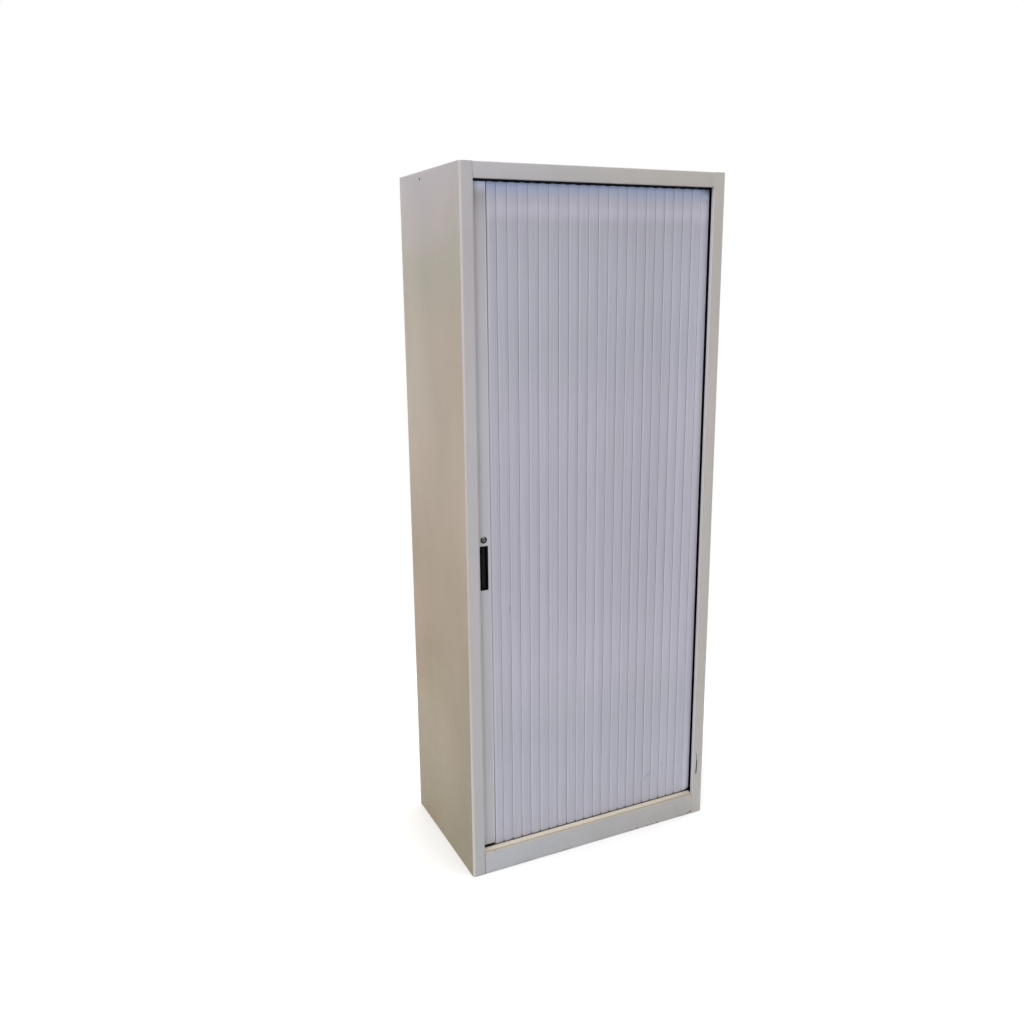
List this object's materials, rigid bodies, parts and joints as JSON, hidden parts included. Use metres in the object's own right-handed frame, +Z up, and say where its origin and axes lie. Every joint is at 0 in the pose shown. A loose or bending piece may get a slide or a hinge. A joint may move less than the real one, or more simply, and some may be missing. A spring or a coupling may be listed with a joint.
{
  "type": "roll front tool cabinet",
  "caption": "Tall steel cabinet closed by a sideways tambour curtain of upright slats, with a recessed pull, a cam lock and adjustable shelves.",
  "frame": {"origin": "middle of the footprint, on the floor", "axes": "+X to the right along the front, +Y to the back, +Z up; the front faces -Y"},
  "size_m": [0.8, 0.45, 1.97],
  "materials": {
    "painted_steel": "warm light grey powder coat, slightly worn at the sill",
    "stile_paint": "mid grey powder coat",
    "slat_plastic": "satin lavender-grey extruded plastic",
    "track_plastic": "black moulded plastic",
    "handle_plastic": "black moulded plastic with a fine grain",
    "buffer_rubber": "black rubber",
    "lock_metal": "dulled nickel plate",
    "zinc_plated": "bright zinc plate"
  },
  "bodies": {
    "cabinet": {"left_side_panel": "painted_steel", "right_side_panel": "painted_steel", "top_panel": "painted_steel", "front_plinth": "painted_steel", "rear_plinth": "painted_steel", "floor_panel": "painted_steel", "ceiling_panel": "painted_steel", "back_panel": "painted_steel", "back_panel_rivets": "zinc_plated", "inner_back": "painted_steel", "left_liner": "painted_steel", "right_liner": "painted_steel", "lower_front_track": "track_plastic", "lower_side_track": "track_plastic", "lower_back_track": "track_plastic", "lower_corner_guides": "track_plastic", "upper_front_track": "track_plastic", "upper_side_track": "track_plastic", "upper_back_track": "track_plastic", "upper_corner_guides": "track_plastic", "shelf_1": "painted_steel", "shelf_2": "painted_steel", "shelf_3": "painted_steel", "shelf_4": "painted_steel", "shelf_clips": "zinc_plated", "lock_strike": "zinc_plated", "door_buffers": "buffer_rubber"},
    "door": {"leading_stile": "stile_paint", "handle_cup": "handle_plastic", "glide_shoes": "track_plastic", "lock_housing": "lock_metal", "lock_nut": "zinc_plated"},
    "lock_core": {"lock_barrel": "lock_metal", "lock_cam": "zinc_plated", "cam_screw": "zinc_plated"},
    "curtain_01": {"slat_01": "slat_plastic"},
    "curtain_02": {"slat_02": "slat_plastic"},
    "curtain_03": {"slat_03": "slat_plastic"},
    "curtain_04": {"slat_04": "slat_plastic"},
    "curtain_05": {"slat_05": "slat_plastic"},
    "curtain_06": {"slat_06": "slat_plastic"},
    "curtain_07": {"slat_07": "slat_plastic"},
    "curtain_08": {"slat_08": "slat_plastic"},
    "curtain_09": {"slat_09": "slat_plastic"},
    "curtain_10": {"slat_10": "slat_plastic"},
    "curtain_11": {"slat_11": "slat_plastic"},
    "curtain_12": {"slat_12": "slat_plastic"},
    "curtain_13": {"slat_13": "slat_plastic"},
    "curtain_14": {"slat_14": "slat_plastic"},
    "curtain_15": {"slat_15": "slat_plastic"},
    "curtain_16": {"slat_16": "slat_plastic"},
    "curtain_17": {"slat_17": "slat_plastic"},
    "curtain_18": {"slat_18": "slat_plastic"},
    "curtain_19": {"slat_19": "slat_plastic"},
    "curtain_20": {"slat_20": "slat_plastic"},
    "curtain_21": {"slat_21": "slat_plastic"},
    "curtain_22": {"slat_22": "slat_plastic"},
    "curtain_23": {"slat_23": "slat_plastic"},
    "curtain_24": {"slat_24": "slat_plastic"},
    "curtain_25": {"slat_25": "slat_plastic"}
  },
  "joints": [
    {"name": "door_slide", "type": "slide", "parent": "cabinet", "child": "door", "axis": [1, 0, 0], "range_m": [0, 0.683], "deforming": ["slat_01", "slat_02", "slat_03", "slat_04", "slat_05", "slat_06", "slat_07", "slat_08", "slat_09", "slat_10", "slat_11", "slat_12", "slat_13", "slat_14", "slat_15", "slat_16", "slat_17", "slat_18", "slat_19", "slat_20", "slat_21", "slat_22"]},
    {"name": "lock_turn", "type": "hinge", "parent": "door", "child": "lock_core", "pos_m": [-0.341, -0.19, 1], "axis": [0, 1, 0], "range_deg": [0, 90]},
    {"name": "slat_01_slide", "type": "slide", "parent": "cabinet", "child": "curtain_01", "axis": [1, 0, 0], "range_m": [0, 0.6832]},
    {"name": "slat_02_slide", "type": "slide", "parent": "cabinet", "child": "curtain_02", "axis": [1, 0, 0], "range_m": [0, 0.6532]},
    {"name": "slat_03_slide", "type": "slide", "parent": "cabinet", "child": "curtain_03", "axis": [1, 0, 0], "range_m": [0, 0.6232]},
    {"name": "slat_04_slide", "type": "slide", "parent": "cabinet", "child": "curtain_04", "axis": [1, 0, 0], "range_m": [0, 0.5932]},
    {"name": "slat_05_slide", "type": "slide", "parent": "cabinet", "child": "curtain_05", "axis": [1, 0, 0], "range_m": [0, 0.5632]},
    {"name": "slat_06_slide", "type": "slide", "parent": "cabinet", "child": "curtain_06", "axis": [1, 0, 0], "range_m": [0, 0.5332]},
    {"name": "slat_07_slide", "type": "slide", "parent": "cabinet", "child": "curtain_07", "axis": [1, 0, 0], "range_m": [0, 0.5032]},
    {"name": "slat_08_slide", "type": "slide", "parent": "cabinet", "child": "curtain_08", "axis": [1, 0, 0], "range_m": [0, 0.4732]},
    {"name": "slat_09_slide", "type": "slide", "parent": "cabinet", "child": "curtain_09", "axis": [1, 0, 0], "range_m": [0, 0.4432]},
    {"name": "slat_10_slide", "type": "slide", "parent": "cabinet", "child": "curtain_10", "axis": [1, 0, 0], "range_m": [0, 0.4132]},
    {"name": "slat_11_slide", "type": "slide", "parent": "cabinet", "child": "curtain_11", "axis": [1, 0, 0], "range_m": [0, 0.3832]},
    {"name": "slat_12_slide", "type": "slide", "parent": "cabinet", "child": "curtain_12", "axis": [1, 0, 0], "range_m": [0, 0.3532]},
    {"name": "slat_13_slide", "type": "slide", "parent": "cabinet", "child": "curtain_13", "axis": [1, 0, 0], "range_m": [0, 0.3232]},
    {"name": "slat_14_slide", "type": "slide", "parent": "cabinet", "child": "curtain_14", "axis": [1, 0, 0], "range_m": [0, 0.2932]},
    {"name": "slat_15_slide", "type": "slide", "parent": "cabinet", "child": "curtain_15", "axis": [1, 0, 0], "range_m": [0, 0.2632]},
    {"name": "slat_16_slide", "type": "slide", "parent": "cabinet", "child": "curtain_16", "axis": [1, 0, 0], "range_m": [0, 0.2332]},
    {"name": "slat_17_slide", "type": "slide", "parent": "cabinet", "child": "curtain_17", "axis": [1, 0, 0], "range_m": [0, 0.2032]},
    {"name": "slat_18_slide", "type": "slide", "parent": "cabinet", "child": "curtain_18", "axis": [1, 0, 0], "range_m": [0, 0.1732]},
    {"name": "slat_19_slide", "type": "slide", "parent": "cabinet", "child": "curtain_19", "axis": [1, 0, 0], "range_m": [0, 0.1432]},
    {"name": "slat_20_slide", "type": "slide", "parent": "cabinet", "child": "curtain_20", "axis": [1, 0, 0], "range_m": [0, 0.1132]},
    {"name": "slat_21_slide", "type": "slide", "parent": "cabinet", "child": "curtain_21", "axis": [1, 0, 0], "range_m": [0, 0.0832]},
    {"name": "slat_22_slide", "type": "slide", "parent": "cabinet", "child": "curtain_22", "axis": [1, 0, 0], "range_m": [0, 0.0532]},
    {"name": "slat_23_turn", "type": "hinge", "parent": "cabinet", "child": "curtain_23", "pos_m": [0.345, -0.1465, 1], "axis": [0, 0, 1], "range_deg": [0, 38.1]},
    {"name": "slat_24_turn", "type": "hinge", "parent": "cabinet", "child": "curtain_24", "pos_m": [0.345, -0.1465, 1], "axis": [0, 0, 1], "range_deg": [0, 38.1]},
    {"name": "slat_25_slide", "type": "slide", "parent": "cabinet", "child": "curtain_25", "axis": [0, 1, 0], "range_m": [0, 0.2702]}
  ],
  "couplings": [
    {"joint": "slat_01_slide", "follows": "door_slide", "ratio": 1},
    {"joint": "slat_02_slide", "follows": "door_slide", "ratio": 0.95608},
    {"joint": "slat_03_slide", "follows": "door_slide", "ratio": 0.91215},
    {"joint": "slat_04_slide", "follows": "door_slide", "ratio": 0.86823},
    {"joint": "slat_05_slide", "follows": "door_slide", "ratio": 0.8243},
    {"joint": "slat_06_slide", "follows": "door_slide", "ratio": 0.78038},
    {"joint": "slat_07_slide", "follows": "door_slide", "ratio": 0.73646},
    {"joint": "slat_08_slide", "follows": "door_slide", "ratio": 0.69253},
    {"joint": "slat_09_slide", "follows": "door_slide", "ratio": 0.64861},
    {"joint": "slat_10_slide", "follows": "door_slide", "ratio": 0.60469},
    {"joint": "slat_11_slide", "follows": "door_slide", "ratio": 0.56076},
    {"joint": "slat_12_slide", "follows": "door_slide", "ratio": 0.51684},
    {"joint": "slat_13_slide", "follows": "door_slide", "ratio": 0.47291},
    {"joint": "slat_14_slide", "follows": "door_slide", "ratio": 0.42899},
    {"joint": "slat_15_slide", "follows": "door_slide", "ratio": 0.38507},
    {"joint": "slat_16_slide", "follows": "door_slide", "ratio": 0.34114},
    {"joint": "slat_17_slide", "follows": "door_slide", "ratio": 0.29722},
    {"joint": "slat_18_slide", "follows": "door_slide", "ratio": 0.25329},
    {"joint": "slat_19_slide", "follows": "door_slide", "ratio": 0.20937},
    {"joint": "slat_20_slide", "follows": "door_slide", "ratio": 0.16545},
    {"joint": "slat_21_slide", "follows": "door_slide", "ratio": 0.12152},
    {"joint": "slat_22_slide", "follows": "door_slide", "ratio": 0.077599},
    {"joint": "slat_23_turn", "follows": "door_slide", "rad_per_m": 0.97105},
    {"joint": "slat_24_turn", "follows": "door_slide", "rad_per_m": 0.97105},
    {"joint": "slat_25_slide", "follows": "door_slide", "ratio": 0.39532}
  ]
}
